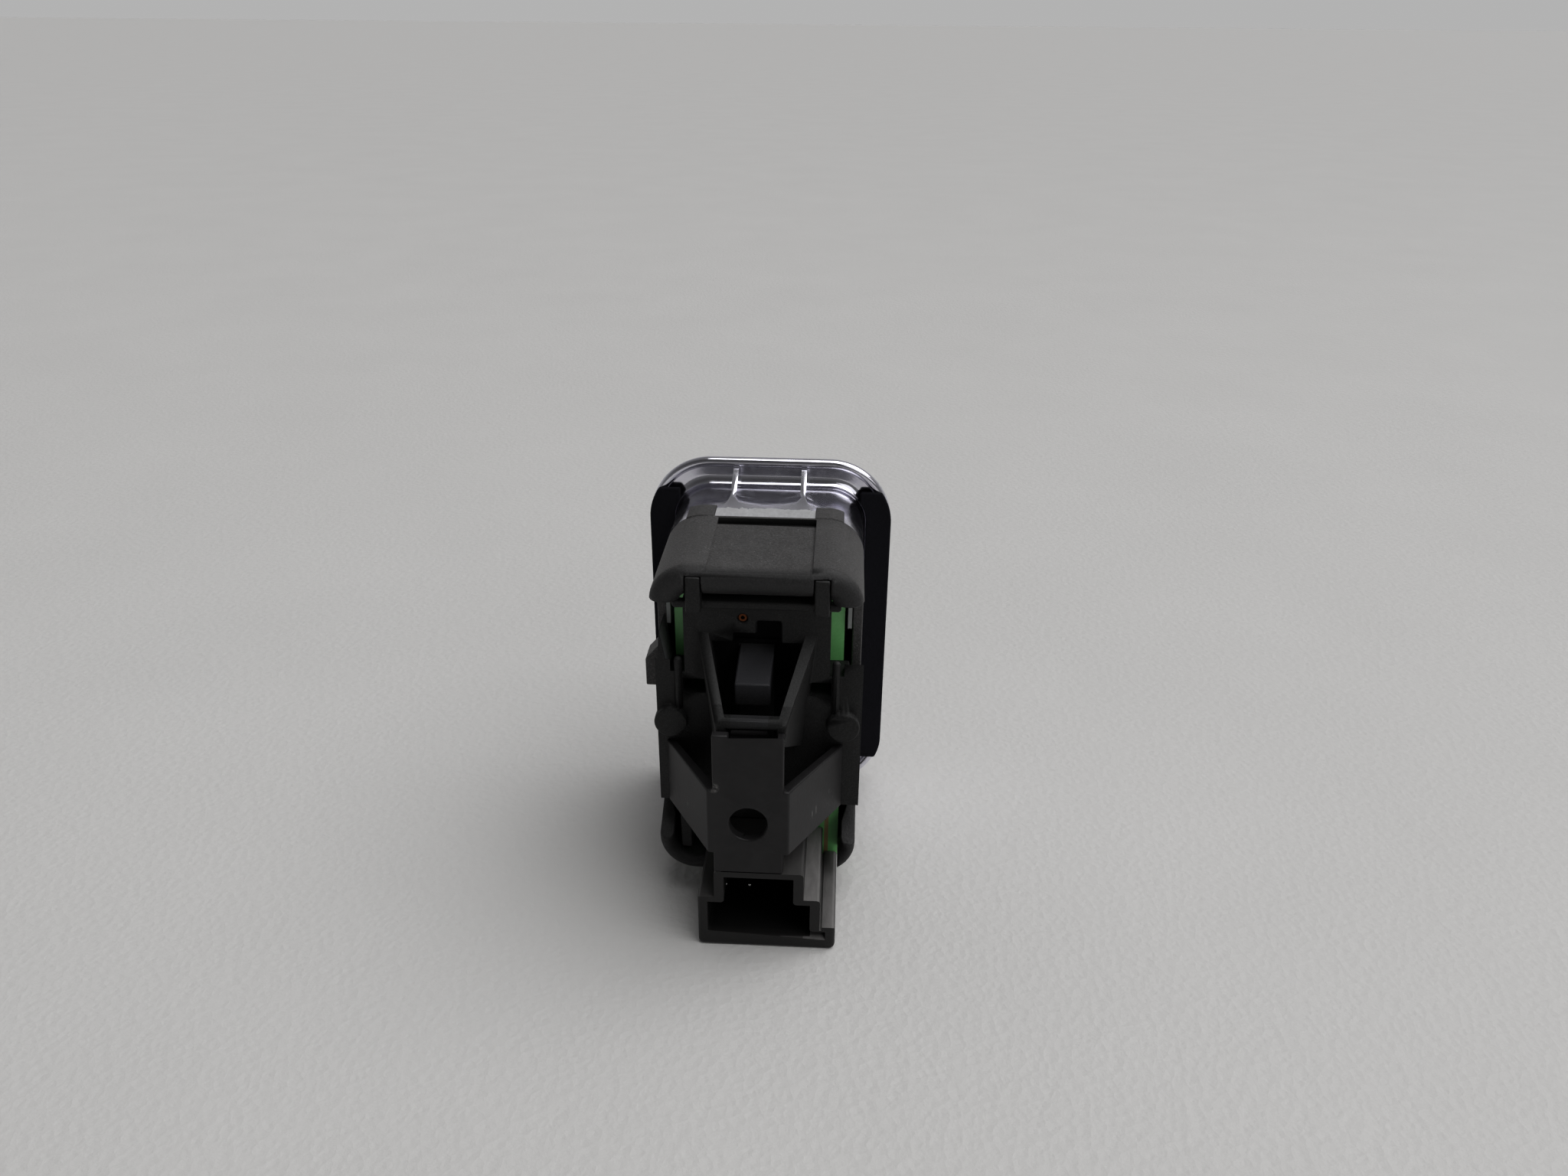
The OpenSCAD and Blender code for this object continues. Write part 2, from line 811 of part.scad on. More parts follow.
module tact_button(side) {
    color([0.15, 0.15, 0.15])
        translate([0, button_front, side * plunger_arm])
            rotate([90, 0, 0])
                cylinder(d = tact_button_d, h = button_rise + button_sink);
}

module tact_button_upper() {
    tact_button(1);
}

module tact_button_lower() {
    tact_button(-1);
}

module circuit_board() {
    color("seagreen")
        difference() {
            union() {
                block([-board_half_w, -board_depth, board_bottom], [board_half_w, board_front, board_top]);
                block([socket_x - wide_out, -board_depth, board_bottom - board_tab_drop],
                      [board_half_w, board_front, board_bottom + past]);
            }
            for (i = [1:pin_count])
                translate([pin_x(i), board_front + past, pin_z])
                    rotate([90, 0, 0])
                        cylinder(d = board_hole_d, h = board_t + 2 * past);
            // Corners of the board clear the housing's round corners
            for (corner = [[-1, -1], [-1, 1], [1, 1]])
                translate([corner[0] * inner_w / 2, 0, corner[1] * inner_h / 2])
                    rotate([0, 45, 0])
                        cube([inner_r * sqrt(2), 2 * board_depth + past, inner_r * sqrt(2)], center = true);
        }
}

module led(side) {
    color("lightyellow")
        translate([side * led_x - led_size[0] / 2, board_front, led_z - led_size[2] / 2])
            cube(led_size);
}

module led_left() {
    led(-1);
}

module led_right() {
    led(1);
}

module resistors() {
    color([0.12, 0.12, 0.13])
        for (sx = [-1, 1], row = [0, 1])
            translate([sx * led_x - resistor_size[0] / 2, board_front, row * resistor_pitch + resistor_z])
                cube(resistor_size);
}

module test_contact() {
    color("peru")
        translate([contact_x, -board_depth, contact_z])
            rotate([90, 0, 0])
                difference() {
                    cylinder(d = contact_d, h = cover_depth - board_depth - contact_recess);
                    translate([0, 0, past])
                        cylinder(d = contact_bore, h = cover_depth - board_depth);
                }
}

module light_guide() {
    front = deck_back - gap;
    leg_in = inner_w / 2 - gap - guide_t;
    leg_out = inner_w / 2 - gap;
    color("gainsboro")
        union() {
            block([-leg_out, front - guide_bar_t, guide_bar_bottom], [leg_out, front, guide_top]);
            for (sx = [0, 1])
                mirror([sx, 0, 0])
                    block([leg_in, guide_back, guide_bottom], [leg_out, front, guide_top]);
        }
}

// Outline of the cover's plate across the switch
module cover_outline() {
    translate([-cover_half_w, cover_bottom])
        square([2 * cover_half_w, cover_top - cover_bottom]);
    translate([-rail_in - rail_lap, -rail_bottom])
        square([2 * rail_in + 2 * rail_lap, rail_bottom + rail_top - rail_slope / 2]);
    translate([nub_x - nub_w / 2, nub_bottom])
        square([nub_w, cover_bottom - nub_bottom + past]);
}

// Openings through the cover's plate: the hole of the test contact and two side slots
module cover_openings() {
    translate([contact_x, contact_z])
        circle(d = contact_hole_d);
    for (sx = [0, 1])
        mirror([sx, 0])
            translate([slot_in, slot_bottom])
                square([slot_out - slot_in, slot_h]);
}

// Pocket between the ribs and a stepped, deeper recess at its top
module cover_pockets() {
    half = recess_half_w;
    top = pocket_top_half_w;
    bottom = pocket_bottom_half_w;
    slab(cover_back + pocket_depth, cover_back - past)
        polygon([
            [-top, pocket_top], [top, pocket_top],
            [bottom, rib_foot_z], [-bottom, rib_foot_z]
        ]);
    slab(cover_front - recess_floor, cover_back - past) {
        translate([0, recess_bottom])
            square([half, recess_h]);
        translate([-half, recess_bottom])
            square([half + fit, recess_step_h]);
    }
}

// Rail and ear of one side, side is -1 or 1
module cover_rail(side, rail_w) {
    mirror([side < 0 ? 1 : 0, 0, 0]) {
        translate([rail_in + rail_w / 2, 0, 0])
            across(rail_w / 2)
                polygon([
                    [cover_back, -rail_bottom], [rail_front, -rail_bottom],
                    [rail_front, rail_top - rail_slope], [cover_back, rail_top]
                ]);
        // Round rib beside the rail
        translate([side_rib_x, cover_back, side_rib_bottom])
            cylinder(r = side_rib_r, h = side_rib_top - side_rib_bottom);
        translate([side_rib_x, cover_back, side_rib_top])
            sphere(side_rib_r);
        // Ear above the bracket's wing
        translate([ear_x, cover_back + fit, ear_z])
            rotate([90, 0, 0])
                cylinder(r = ear_r, h = ear_t + fit);
    }
}

// Two ribs that close in towards the rear and downwards, with a cross bar
module rib_frame() {
    reach = rib_end_depth - cover_depth;
    fall = (rib_top - rib_end_z) / reach;
    turn = atan((rib_spread - rib_end_half_w) / reach - fall * tan(rib_lean));
    bar_half_w = rib_end_half_w - rib_t / 2;
    for (sx = [0, 1])
        mirror([sx, 0, 0])
            intersection() {
                translate([rib_spread - rib_t / 2, cover_back, rib_top])
                    rotate([0, rib_lean, -turn])
                        across(rib_t / 2)
                            polygon([
                                [past, past * fall],
                                [-reach - past, -(reach + past) * fall],
                                [-reach - past, -reach * fall - rib_end_h],
                                [past, rib_foot_z - rib_top - past]
                            ]);
                block([0, -rib_end_depth, rib_foot_z], [body_w, cover_back + cover_t / 2, rib_top + past]);
            }
    translate([0, -rib_end_depth, bar_top])
        block([-bar_half_w, 0, -bar_h], [bar_half_w, bar_t, 0]);
}

module rear_cover() {
    color([0.17, 0.17, 0.17])
        union() {
            difference() {
                slab(cover_front, cover_back)
                    difference() {
                        cover_outline();
                        cover_openings();
                    }
                cover_pockets();
            }
            // Wall that closes the room under the upper hood
            slab(cover_front, cover_front - top_wall_t)
                intersection() {
                    let (inset = hood_lip + gap)
                        rounded_rect(body_w - 2 * inset, body_h - 2 * inset, body_r - inset);
                    translate([-cover_half_w, cover_top - lip_h])
                        square([2 * cover_half_w, body_h]);
                }
            // Lip along the top edge
            translate([0, 0, cover_top - lip_h / 2])
                slab(cover_back + fit, cover_back - lip_t)
                    rounded_rect(2 * lip_half_w, lip_h, lip_h / 2 - fit);
            // Hooks in the notches of the upper hood
            for (x = hook_places)
                translate([x, 0, 0])
                    block([-hook_w / 2, hook_back, cover_top - lip_h], [hook_w / 2, hook_front, hook_top]);
            cover_rail(-1, left_rail_w);
            cover_rail(1, right_rail_w);
            // Lead-in of the left rail
            translate([-left_rail_out, 0, rail_top - rail_slope])
                slab(rail_front, cover_back)
                    polygon([[0, 0], [left_rail_w, 0], [left_rail_w / 3, rail_slope + rail_tip]]);
            rib_frame();
            // Ramped catch between the ribs
            translate([catch_x, cover_back, catch_top])
                across(catch_half_w)
                    polygon([
                        [pocket_depth + fit, 0], [-catch_reach, -catch_drop],
                        [-catch_reach, -3 * catch_drop], [pocket_depth + fit, -4 * catch_drop]
                    ]);
            // Legs that rest on the board
            for (sx = [-1, 1])
                translate([sx * cover_leg_x, -board_depth, cover_leg_z])
                    rotate([90, 0, 0])
                        cylinder(d = cover_leg_d, h = cover_depth - board_depth);
        }
}

// Line of the bracket's sheet seen from above, right half
module bracket_wing() {
    run = [wing_end_x - plate_half_w, wing_end_y - plate_back];
    run_len = norm(run);
    inside = [-run[1], run[0]] * sheet_t / run_len;
    fold = [plate_half_w, plate_back];
    tip = [wing_end_x, wing_end_y];
    // The inner face starts where it leaves the plate's front face
    inner_fold = [plate_half_w + inside[0] + (sheet_t - inside[1]) * run[0] / run[1], plate_front];
    polygon([
        [-fit, plate_back], fold, tip,
        [tip[0] + inside[0], tip[1]], inner_fold, [-fit, plate_front]
    ]);
}

// Strip up to the cross bar and leg down to the socket, with a bevelled slot and a tongue under the bar
module bracket_strip() {
    tab_top = strip_top - sheet_t;
    difference() {
        block([-strip_half_w, plate_back, socket_top], [strip_half_w, plate_front, strip_top]);
        translate([(strip_slot_right - strip_slot_left) / 2, plate_front, strip_top])
            across((strip_slot_left + strip_slot_right) / 2)
                polygon([[-sheet_t, 0], [-sheet_t, past], [past, past], [past, -sheet_t], [0, -sheet_t]]);
    }
    block([-tongue_tab_half_w, plate_front - tongue_tab_t, tab_top - tongue_tab_t],
          [tongue_tab_half_w, tongue_tab_front, tab_top]);
}

module mounting_bracket() {
    color([0.13, 0.13, 0.14])
        translate([bracket_x, 0, 0])
            difference() {
                union() {
                    // Plate with the two folded wings
                    translate([0, 0, -wing_bottom])
                        linear_extrude(wing_bottom - wing_top)
                            for (sx = [0, 1])
                                mirror([sx, 0])
                                    bracket_wing();
                    bracket_strip();
                }
                translate([0, plate_front + past, -fixing_drop])
                    rotate([90, 0, 0])
                        cylinder(d = fixing_d, h = sheet_t + 2 * past);
            }
}

// Outer outline of the socket, with a narrow top, a side ledge and round lower corners
module socket_outline() {
    intersection() {
        polygon([
            [-narrow_out, socket_top], [narrow_out, socket_top],
            [narrow_out, shoulder_top], [wide_out, shoulder_top],
            [wide_out, ledge_top], [ledge_out, ledge_top],
            [ledge_out, base_z], [-wide_out, base_z],
            [-wide_out, shoulder_top], [-narrow_out, shoulder_top]
        ]);
        translate([(ledge_out - wide_out) / 2, socket_top])
            rounded_rect(wide_out + ledge_out, 2 * socket_h, socket_corner_r);
    }
}

module connector_shroud() {
    cavity_top = socket_top - socket_roof;
    wide_top = shoulder_top - socket_roof;
    cavity_bottom = base_z + socket_base;
    ledge_roof = ledge_top - ledge_wall;
    ledge_in = ledge_out - socket_wall;
    color([0.16, 0.16, 0.16])
        translate([socket_x, 0, 0])
            difference() {
                slab(socket_back, mouth)
                    socket_outline();
                slab(socket_floor, mouth - past)
                    polygon([
                        [-narrow_half_w, cavity_top], [narrow_half_w, cavity_top],
                        [narrow_half_w, wide_top], [wide_half_w, wide_top],
                        [wide_half_w, ledge_roof], [ledge_in, ledge_roof],
                        [ledge_in, cavity_bottom], [-wide_half_w, cavity_bottom],
                        [-wide_half_w, wide_top], [-narrow_half_w, wide_top]
                    ]);
                // Groove beside the ledge
                block([wide_out, mouth - past, ledge_top - groove_depth],
                      [wide_out + groove_w, socket_back + past, ledge_top + past]);
                for (i = [1:pin_count])
                    translate([pin_x(i) - socket_x, socket_floor, pin_z])
                        cube([pin_w + fit, 3 * socket_floor_t, pin_w + fit], center = true);
            }
}

// Square pin with a tapered tip, soldered through the board
module terminal(i) {
    half = pin_w / 2;
    color("silver")
        translate([pin_x(i), 0, pin_z])
            intersection() {
                across(half)
                    polygon([
                        [board_front + pin_solder, -half], [board_front + pin_solder, half],
                        [pin_tip + pin_taper, half], [pin_tip, half / 2],
                        [pin_tip, -half / 2], [pin_tip + pin_taper, -half]
                    ]);
                translate([0, 0, -half])
                    linear_extrude(pin_w)
                        polygon([
                            [-half, board_front + pin_solder], [half, board_front + pin_solder],
                            [half, pin_tip + pin_taper], [half / 2, pin_tip],
                            [-half / 2, pin_tip], [-half, pin_tip + pin_taper]
                        ]);
            }
}

module terminal_1() {
    terminal(1);
}

module terminal_2() {
    terminal(2);
}

bezel();
felt_strip_left();
felt_strip_right();
front_housing();
rocker();
rocker_window();
pivot_pin();
plunger_upper();
plunger_lower();
tact_switch_upper();
tact_switch_lower();
tact_button_upper();
tact_button_lower();
circuit_board();
led_left();
led_right();
resistors();
test_contact();
light_guide();
rear_cover();
mounting_bracket();
connector_shroud();
terminal_1();
terminal_2();
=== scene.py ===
# A two-way seat switch that stands upright with its rear to the camera: chrome bezel, clip-in
# housing, rear cover with a folded bracket, and a keyed cable socket. Sizes are in metres unless
# a line says otherwise, and +Y is the front.
import math

import bpy
from mathutils import Matrix, Vector
from mathutils.bvhtree import BVHTree
from mathutils.kdtree import KDTree


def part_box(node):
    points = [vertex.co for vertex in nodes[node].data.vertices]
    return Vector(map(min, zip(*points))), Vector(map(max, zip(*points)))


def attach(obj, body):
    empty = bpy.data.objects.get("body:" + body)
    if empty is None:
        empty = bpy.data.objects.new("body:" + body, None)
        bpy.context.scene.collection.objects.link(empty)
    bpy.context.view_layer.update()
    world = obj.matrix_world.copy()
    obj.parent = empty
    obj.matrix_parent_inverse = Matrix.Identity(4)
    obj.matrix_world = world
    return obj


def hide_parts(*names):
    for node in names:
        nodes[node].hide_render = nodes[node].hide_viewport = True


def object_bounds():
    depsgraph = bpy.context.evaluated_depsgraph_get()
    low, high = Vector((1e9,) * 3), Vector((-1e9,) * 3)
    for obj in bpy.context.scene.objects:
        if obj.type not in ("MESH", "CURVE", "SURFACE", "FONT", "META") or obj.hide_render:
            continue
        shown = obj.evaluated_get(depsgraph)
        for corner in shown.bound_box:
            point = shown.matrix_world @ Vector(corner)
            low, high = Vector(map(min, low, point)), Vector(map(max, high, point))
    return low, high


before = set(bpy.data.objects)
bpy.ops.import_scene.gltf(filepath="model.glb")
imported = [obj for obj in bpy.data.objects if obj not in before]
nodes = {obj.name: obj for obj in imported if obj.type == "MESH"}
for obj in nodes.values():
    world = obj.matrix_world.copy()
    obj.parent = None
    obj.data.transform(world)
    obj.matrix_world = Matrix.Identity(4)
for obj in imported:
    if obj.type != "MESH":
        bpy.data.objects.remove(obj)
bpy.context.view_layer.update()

# Bezel
# Moulded plastic frame with bright chrome plating, a rolled lip and thin gusset ribs at its back.
# The housing's tongues snap onto its collar, where the plating ends in a ragged matt edge.
MM = 0.001


def pick(piece):
    """Selects one object alone and makes it active."""
    if bpy.context.mode != "OBJECT":
        bpy.ops.object.mode_set(mode="OBJECT")
    bpy.ops.object.select_all(action="DESELECT")
    piece.select_set(True)
    bpy.context.view_layer.objects.active = piece


def edge_bends(mesh):
    """Angle between the two faces at each edge, and None for an edge that hasn't just two."""
    normals_at = {}
    for face in mesh.polygons:
        for key in face.edge_keys:
            normals_at.setdefault(key, []).append(face.normal)
    bends = []
    for line in mesh.edges:
        normals = normals_at[tuple(sorted(line.vertices))]
        bends.append(normals[0].angle(normals[1], 0) if len(normals) == 2 else None)
    return bends


def round_edges(piece, edge):
    """Bevels a piece's sharp edges by a width in millimetres, but for those that have no room."""
    sharp_bend = math.radians(40)
    most_tries = 9
    sliver_area = 1e-11
    least_facing = 0.1
    width = edge * MM
    most_away = spacing = 0.6 * width
    clearance = 1.2 * width

    mesh = piece.data
    points = [vertex.co for vertex in mesh.vertices]
    plain = BVHTree.FromPolygons(points, [face.vertices for face in mesh.polygons])
    bends = edge_bends(mesh)
    sharp = [index for index, bend in enumerate(bends) if bend is not None and bend > sharp_bend]
    for attempt in range(most_tries):
        trial = mesh.copy()
        weight = trial.attributes.new("bevel_weight_edge", "FLOAT", "EDGE")
        for index in sharp:
            weight.data[index].value = 1
        piece.data = trial
        bevel = piece.modifiers.new("edges", "BEVEL")
        bevel.width = width
        bevel.segments = 3
        bevel.limit_method = "WEIGHT"
        bevel.miter_outer = "MITER_ARC"
        bevel.use_clamp_overlap = False
        bevel.loop_slide = False
        bpy.ops.object.modifier_apply(modifier=bevel.name)

        # Folded triangles face away from the plain shape or stand off it
        folded = []
        trial.calc_loop_triangles()
        for triangle in trial.loop_triangles:
            points = [trial.vertices[v].co for v in triangle.vertices]
            middle = sum(points, Vector()) / 3
            spot, normal, face, away = plain.find_nearest(middle)
            turned = triangle.normal.dot(normal) < least_facing
            if triangle.area > sliver_area and (turned or away > most_away):
                folded += [*points, middle]
        if not folded:
            break

        # The next try leaves out the edges beside them
        tree = KDTree(len(folded))
        for index, point in enumerate(folded):
            tree.insert(point, index)
        tree.balance()
        clear = []
        for index in sharp:
            start, end = (mesh.vertices[v].co for v in mesh.edges[index].vertices)
            count = max(2, int((end - start).length / spacing))
            points = [start.lerp(end, i / count) for i in range(count + 1)]
            if all(tree.find(point)[2] > clearance for point in points):
                clear.append(index)
        sharp = clear


def dressed_copy(node, body, edge=0.0, smooth=32):
    """Copies a CAD node, merges its triangles, rounds its edges and takes the node's place.

    The edges' width is in millimetres, and the angle that is shaded smooth is in degrees.
    """
    touching = 0.002 * MM
    flat, any_shape = math.radians(0.6), math.radians(180)
    pick(nodes[node])
    bpy.ops.object.duplicate()
    piece = bpy.context.active_object
    piece.name = node + "_piece"
    for key in list(piece.keys()):
        del piece[key]
    piece.parent = None
    bpy.ops.object.mode_set(mode="EDIT")
    bpy.ops.mesh.select_all(action="SELECT")
    bpy.ops.mesh.remove_doubles(threshold=touching)
    bpy.ops.mesh.dissolve_degenerate(threshold=touching)
    bpy.ops.mesh.tris_convert_to_quads(face_threshold=flat, shape_threshold=any_shape)
    bpy.ops.object.mode_set(mode="OBJECT")
    if edge:
        round_edges(piece, edge)
    bpy.ops.object.shade_smooth_by_angle(angle=math.radians(smooth))
    even = piece.modifiers.new("even faces", "WEIGHTED_NORMAL")
    even.keep_sharp = True
    bpy.ops.object.modifier_apply(modifier=even.name)
    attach(piece, body)
    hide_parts(node)
    return piece


class Finish:
    """A socket of a material's nodes, so that shader maths reads as plain expressions."""

    def __init__(self, tree, socket):
        self.tree = tree
        self.socket = socket

    def make(self, kind, settings=None, inputs=None, out=0):
        """Adds a node with its settings and the values or links of its sockets."""
        node = self.tree.nodes.new(kind)
        for name, value in (settings or {}).items():
            setattr(node, name, value)
        for name, value in (inputs or {}).items():
            if isinstance(value, Finish):
                self.tree.links.new(value.socket, node.inputs[name])
            else:
                node.inputs[name].default_value = value
        return Finish(self.tree, node.outputs[out])

    def maths(self, operation, *values):
        return self.make("ShaderNodeMath", {"operation": operation}, dict(enumerate(values)))

    def __add__(self, other):
        return self.maths("ADD", self, other)

    def __radd__(self, other):
        return self.maths("ADD", other, self)

    def __sub__(self, other):
        return self.maths("SUBTRACT", self, other)

    def __rsub__(self, other):
        return self.maths("SUBTRACT", other, self)

    def __mul__(self, other):
        return self.maths("MULTIPLY", self, other)

    def __rmul__(self, other):
        return self.maths("MULTIPLY", other, self)

    def __or__(self, other):
        return self.maths("MAXIMUM", self, other)

    def __ror__(self, other):
        return self.maths("MAXIMUM", other, self)

    def __gt__(self, other):
        return self.maths("GREATER_THAN", self, other)

    def __lt__(self, other):
        return self.maths("LESS_THAN", self, other)

    def __abs__(self):
        return self.maths("ABSOLUTE", self)

    def axis(self, name):
        return self.make("ShaderNodeSeparateXYZ", None, {"Vector": self}, "XYZ".index(name))

    def scaled(self, x, y, z):
        return self.make("ShaderNodeMapping", None, {"Vector": self, "Scale": (x, y, z)})

    def noise(self, scale, detail=3.0, rough=0.55):
        inputs = {"Vector": self, "Scale": scale, "Detail": detail, "Roughness": rough}
        return self.make("ShaderNodeTexNoise", None, inputs)

    def cells(self, scale):
        """Distance to the nearest of points that are strewn at random."""
        return self.make("ShaderNodeTexVoronoi", None, {"Vector": self, "Scale": scale}, "Distance")

    def step(self, low, high):
        """Soft step from 0 at the first value to 1 at the second."""
        inputs = {"Value": self, "From Min": low, "From Max": high}
        return self.make("ShaderNodeMapRange", {"interpolation_type": "SMOOTHSTEP"}, inputs)

    def within(self, low, high):
        """Mask of 1 where this length lies between two bounds in millimetres."""
        return (self > low * MM) * (self < high * MM)

    def near(self, spot, reach):
        """Soft mask of 1 at a spot given in millimetres, which fades out over a reach."""
        centre = tuple(length * MM for length in spot)
        inputs = {0: self, 1: centre}
        away = self.make("ShaderNodeVectorMath", {"operation": "DISTANCE"}, inputs, "Value")
        return away.step(reach * MM, 0.3 * reach * MM)

    def upward(self):
        """Mask of faces that look up."""
        return self.make("ShaderNodeNewGeometry", out="Normal").axis("Z").step(0.35, 0.9)

    def blend(self, first, second):
        """Colour that goes from the first to the second as this value goes from 0 to 1."""
        inputs = {0: self, 6: first, 7: second}
        return self.make("ShaderNodeMix", {"data_type": "RGBA"}, inputs, 2)

    def bump(self, depth, strength):
        inputs = {"Height": self, "Distance": depth, "Strength": strength}
        return self.make("ShaderNodeBump", None, inputs)


def new_finish(name):
    """Starts a material and gives it with its object coordinates and its shader."""
    material = bpy.data.materials.new(name)
    material.use_nodes = True
    tree = material.node_tree
    shader = tree.nodes["Principled BSDF"]
    place = Finish(tree, tree.nodes.new("ShaderNodeTexCoord").outputs["Object"])
    return material, place, shader


def feed(shader, name, value):
    """Sets a shader socket to a plain value or links it."""
    if isinstance(value, Finish):
        value.tree.links.new(value.socket, shader.inputs[name])
    else:
        shader.inputs[name].default_value = value


def linear(value):
    """Linear light of a screen value of 0 to 255."""
    share = value / 255
    return share / 12.92 if value < 10.3 else ((share + 0.055) / 1.055) ** 2.4


def colour(red, green, blue):
    """Linear colour from screen values of 0 to 255."""
    return (linear(red), linear(green), linear(blue), 1.0)


def coat(piece, material):
    """Gives a piece its one material."""
    piece.data.materials.clear()
    piece.data.materials.append(material)


bezel = dressed_copy("bezel", "switch", smooth=40)
# Its rounds are made finer, and the edges of the gussets and of the collar stay
crease_bend, smooth_bend = math.radians(25), math.radians(30)
bpy.ops.mesh.customdata_custom_splitnormals_clear()
bends = edge_bends(bezel.data)
crease = bezel.data.attributes.new("crease_edge", "FLOAT", "EDGE")
for index, bend in enumerate(bends):
    crease.data[index].value = float(bend is None or bend > crease_bend)
finer = bezel.modifiers.new("finer rounds", "SUBSURF")
finer.levels = 2
finer.render_levels = 2
bpy.ops.object.modifier_apply(modifier=finer.name)
bpy.ops.object.shade_smooth_by_angle(angle=smooth_bend)

chrome, place, shader = new_finish("bright chrome plating")
bright, dull, dull_pale = colour(222, 221, 229), colour(150, 150, 152), colour(206, 206, 208)
x, y, z = map(place.axis, "XYZ")
smear = place.noise(900, detail=4, rough=0.6)
# Matt ragged band where the plating ends, between the tongues at the top
ragged = place.scaled(1, 0.5, 1).noise(1900, detail=5, rough=0.7)
fray = (place.noise(1300, detail=4, rough=0.7) - 0.5) * (1.6 * MM)
band_end, band_middle, band_reach, band_height = -6.7 * MM, 0.1 * MM, 5.5 * MM, 17.5 * MM
band = (y + fray < band_end) * (abs(x - band_middle) + fray * 0.5 < band_reach) * (z > band_height)
feed(shader, "Metallic", 1 - band * 0.9)
feed(shader, "Base Color", band.blend(bright, ragged.blend(dull, dull_pale)))
feed(shader, "Roughness", band * 0.35 + smear.step(0.4, 0.75) * 0.08 + 0.13)
feed(shader, "Normal", place.noise(420, detail=2, rough=0.5).bump(0.03 * MM, strength=0.25))
coat(bezel, chrome)

# Felt strips
# Two die-cut strips of thin black felt that stop rattles, stuck on the back of the flange.
# Their fibres run along the strip and hold a few specks of dust.
felt, place, shader = new_finish("black felt")
felt_black, felt_worn, felt_dust = colour(24, 24, 27), colour(36, 36, 41), colour(150, 150, 150)
fibre = place.scaled(1, 1, 0.4).noise(5200, detail=5, rough=0.7)
dust_and_painted_light = (place.cells(520) < 0.045) * (place.noise(260, detail=1) > 0.6)
feed(shader, "Base Color", dust_and_painted_light.blend(fibre.blend(felt_black, felt_worn), felt_dust))
feed(shader, "Roughness", 0.95)
feed(shader, "Specular IOR Level", 0.08)
feed(shader, "Normal", fibre.bump(0.05 * MM, strength=0.8))
felt_lap = 0.27 * MM
for side in ("left", "right"):
    strip = dressed_copy("felt_strip_" + side, "switch", edge=0.2)
    # It laps over the lip's round, out to the bezel's side
    low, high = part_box("felt_strip_" + side)
    inner = high.x if side == "left" else low.x
    wider = 1 + felt_lap / (high.x - low.x)
    pick(strip)
    bpy.ops.object.mode_set(mode="EDIT")
    bpy.ops.mesh.select_all(action="SELECT")
    bpy.ops.transform.resize(value=(wider, 1, 1), center_override=(inner, 0, 0))
    bpy.ops.object.mode_set(mode="OBJECT")
    coat(strip, felt)

# Front housing
# Dark grey glass-filled moulding with an upper and a lower hood and a plain panel on the upper one.
# A fine spark-eroded grain covers it, and its tongues snap onto the bezel's collar.
housing = dressed_copy("front_housing", "switch", edge=0.15)

housing_grey, place, shader = new_finish("grained dark grey plastic")
grey, grey_pale, grey_speck = colour(60, 59, 59), colour(84, 83, 83), colour(132, 131, 131)
# Painted shade: a darker grey for the hoods and a near-black shadow for the slot
hood_shade_grey, slot_shadow_black = colour(26, 26, 27), colour(7, 7, 7)
x, y, z = map(place.axis, "XYZ")
grain = place.noise(5200, detail=4, rough=0.65)
cloud = place.noise(420, detail=4, rough=0.6)
speck = place.cells(4200).step(0.32, 0.1) * place.noise(900, detail=2).step(0.45, 0.6)
shade = (grain * 0.8 + cloud * 0.2).step(0.35, 0.65).blend(grey, grey_pale)
shade = (speck * 0.5).blend(shade, grey_speck)
# Painted shade darkens the upper hood's roll and the lower hood, and mutes the grain there
roll_start, roll_end = -20.4 * MM, -22.2 * MM
lower_start, lower_end = -9 * MM, -12 * MM
hood_shade = y.step(roll_start, roll_end) | z.step(lower_start, lower_end)
shade = (hood_shade * 0.75).blend(shade, hood_shade_grey)
# Painted shadow: the slot at the panel's front end is painted near-black
slot_middle, slot_reach = 0.3 * MM, 5.15 * MM
slot_shadow = (abs(x - slot_middle) < slot_reach) * y.within(-10.45, -9.27) * z.within(17, 18.08)
feed(shader, "Base Color", slot_shadow.blend(shade, slot_shadow_black))
feed(shader, "Roughness", cloud * 0.16 + 0.46)
feed(shader, "Specular IOR Level", 0.4)
feed(shader, "Normal", grain.bump(0.07 * MM, strength=0.6))
coat(housing, housing_grey)

# Circuit board, its parts and the light guide
# Glass-fibre board with green solder resist, held on posts of the housing. It carries two contact
# switches, two lamps and chip resistors at its front, and a copper test contact at its back.
board_green, place, shader = new_finish("green solder resist")
green, green_pale, bare_fibre = colour(128, 208, 128), colour(146, 222, 142), colour(168, 150, 104)
bare = place.axis("X").within(7.1, 7.55) * (place.axis("Z") < -9 * MM)
weave = place.noise(2600, detail=3).blend(green, green_pale)
feed(shader, "Base Color", bare.blend(weave, bare_fibre))
feed(shader, "Roughness", 0.38)
feed(shader, "Coat Weight", 0.2)
coat(nodes["circuit_board"], board_green)


def mottled_finish(name, dark, pale, scale, detail, roughness, metallic=0.0, stretch=(1, 1, 1)):
    """A finish whose colour wanders a little between two shades."""
    material, place, shader = new_finish(name)
    mottle = place.scaled(*stretch).noise(scale, detail)
    feed(shader, "Base Color", mottle.blend(colour(*dark), colour(*pale)))
    feed(shader, "Roughness", roughness)
    feed(shader, "Metallic", metallic)
    return material


guide_clear = mottled_finish(
    "milky clear plastic", (132, 136, 134), (154, 158, 156), scale=900, detail=2, roughness=0.3
)
glow_depth = 0.4 * MM
shader = guide_clear.node_tree.nodes["Principled BSDF"]
feed(shader, "Subsurface Weight", 0.2)
feed(shader, "Subsurface Radius", (glow_depth, glow_depth, glow_depth))
coat(nodes["light_guide"], guide_clear)

